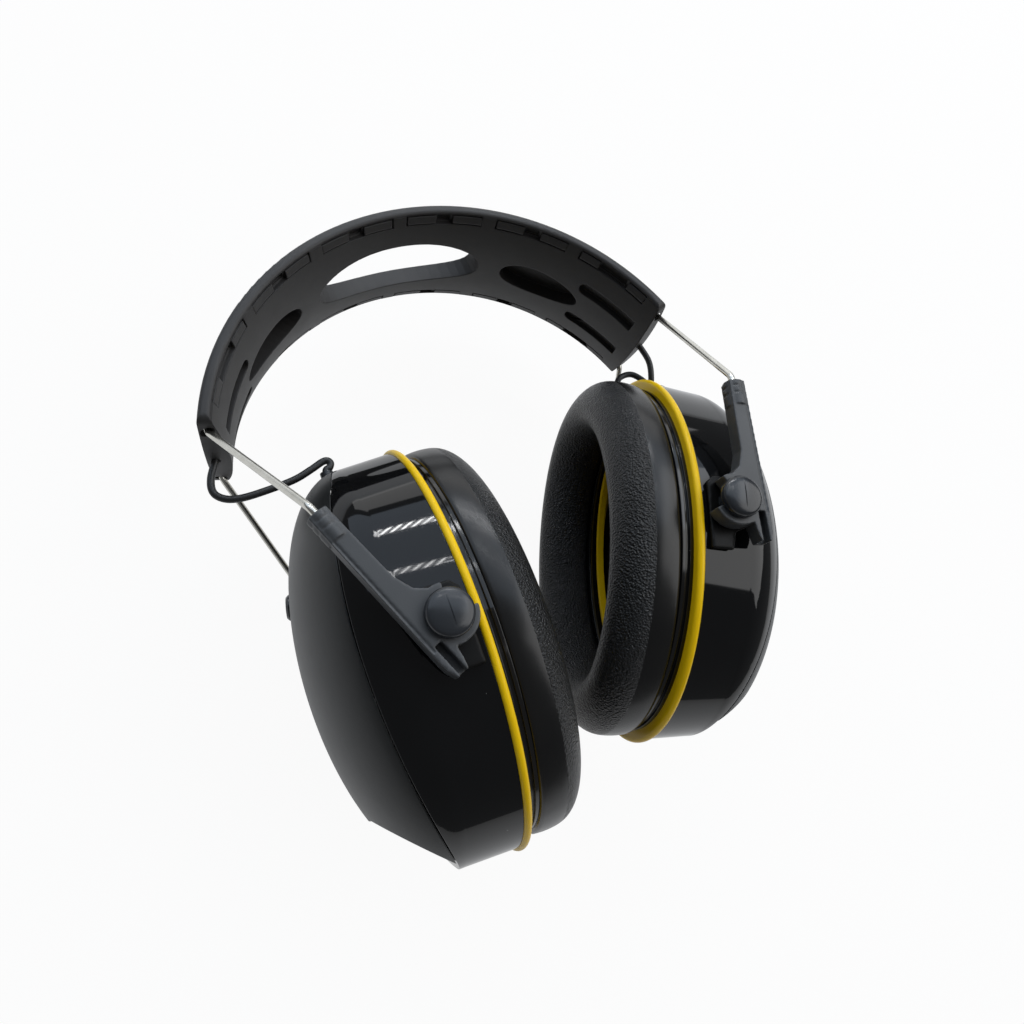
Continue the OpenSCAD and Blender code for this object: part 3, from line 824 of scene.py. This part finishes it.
def backdrop_share(tree, seen, mirrored_part):
    """The part of a backdrop's own white for each ray: what is seen directly, and what is mirrored."""
    ray = tree.nodes.new("ShaderNodeLightPath")
    parts = {"Is Camera Ray": seen, "Is Transmission Ray": seen, "Is Glossy Ray": mirrored_part}
    total = None
    for kind, part in parts.items():
        step = tree.nodes.new("ShaderNodeMath")
        step.operation = "MULTIPLY_ADD"
        tree.links.new(ray.outputs[kind], step.inputs[0])
        step.inputs[1].default_value = part
        step.inputs[2].default_value = 0
        if total:
            tree.links.new(total, step.inputs[2])
        total = step.outputs[0]
    return total


paper = bpy.data.materials.new("paper")
paper.use_nodes = True
tree = paper.node_tree
tree.nodes.remove(tree.nodes["Principled BSDF"])
lit = tree.nodes.new("ShaderNodeBsdfDiffuse")
lit.inputs["Color"].default_value = (0.86, 0.86, 0.86, 1)
glow = tree.nodes.new("ShaderNodeEmission")
glow.inputs["Strength"].default_value = 1.0
shown = tree.nodes.new("ShaderNodeMixShader")
tree.links.new(backdrop_share(tree, FLOOR_SEEN, FLOOR_MIRRORED), shown.inputs["Fac"])
tree.links.new(lit.outputs["BSDF"], shown.inputs[1])
tree.links.new(glow.outputs["Emission"], shown.inputs[2])
tree.links.new(shown.outputs["Shader"], tree.nodes["Material Output"].inputs["Surface"])
floor.data.materials.append(paper)

world = bpy.data.worlds.new("room")
bpy.context.scene.world = world
world.use_nodes = True
tree = world.node_tree
tree.nodes["Background"].inputs["Color"].default_value = (0.95, 0.97, 1.0, 1)
level = tree.nodes.new("ShaderNodeMath")
level.operation = "ADD"
level.inputs[1].default_value = ROOM_LEVEL
tree.links.new(backdrop_share(tree, ROOM_SEEN, ROOM_MIRRORED), level.inputs[0])
tree.links.new(level.outputs[0], tree.nodes["Background"].inputs["Strength"])

centre = (cad_box[0] + cad_box[1]) / 2


def lamp(name, direction, distance, width, height, watts, color=(1, 1, 1), shift=(0, 0)):
    """An area lamp aimed at the headset from a direction given as right, up and toward the camera.
    The shift moves it in its own plane."""
    right, up, toward = direction
    aim = (view_right * right + view_up * up - view_dir * toward).normalized()
    side = (view_right - aim * view_right.dot(aim)).normalized()
    high = aim.cross(side)
    data = bpy.data.lights.new(name, "AREA")
    data.shape = "RECTANGLE"
    data.size, data.size_y = width, height
    data.energy = watts
    data.color = color
    piece = bpy.data.objects.new(name, data)
    bpy.context.scene.collection.objects.link(piece)
    place = centre + aim * distance + side * shift[0] + high * shift[1]
    piece.matrix_world = Matrix((
        (side.x, high.x, aim.x, place.x),
        (side.y, high.y, aim.y, place.y),
        (side.z, high.z, aim.z, place.z),
        (0, 0, 0, 1)))


# Two rows of ceiling tubes, each with its cross blades, both one metre away, and the length of a tube
NEAR_ROW = (-0.03, 0.95, 0.30)
FAR_ROW = (0.10, 0.75, 0.62)
ROW_FAR = 1.0
TUBE_L = 0.50
for k in (-1, 0, 1):
    lamp(f"tube_{k + 2}", NEAR_ROW, ROW_FAR, TUBE_L, 0.007, 0.45, shift=(0.29, 0.024 * k))
for k in range(9):
    lamp(f"blade_{k + 1}", NEAR_ROW, ROW_FAR, 0.006, 0.05, 0.05, shift=(0.03 - 0.02 * k, 0))
for k in (0, 1):
    lamp(f"far_tube_{k + 1}", FAR_ROW, ROW_FAR, TUBE_L, 0.005, 0.17, shift=(0.28, 0.026 * k))
for k in range(7):
    lamp(f"far_blade_{k + 1}", FAR_ROW, ROW_FAR, 0.005, 0.04, 0.022, shift=(0.02 - 0.022 * k, 0.013))

# The bluish ceiling behind the tubes, the bright strip of a wall, and a soft fill from the right
lamp("ceiling", (0.05, 0.84, 0.50), 1.3, 2.6, 1.3, 12.0, color=(0.72, 0.84, 1.0))
lamp("wall", (0.1, 0.99, -0.12), 1.3, 1.6, 0.35, 2.2)
lamp("side_fill", (0.95, 0.35, 0.42), 1.4, 1.1, 1.3, 9.0)
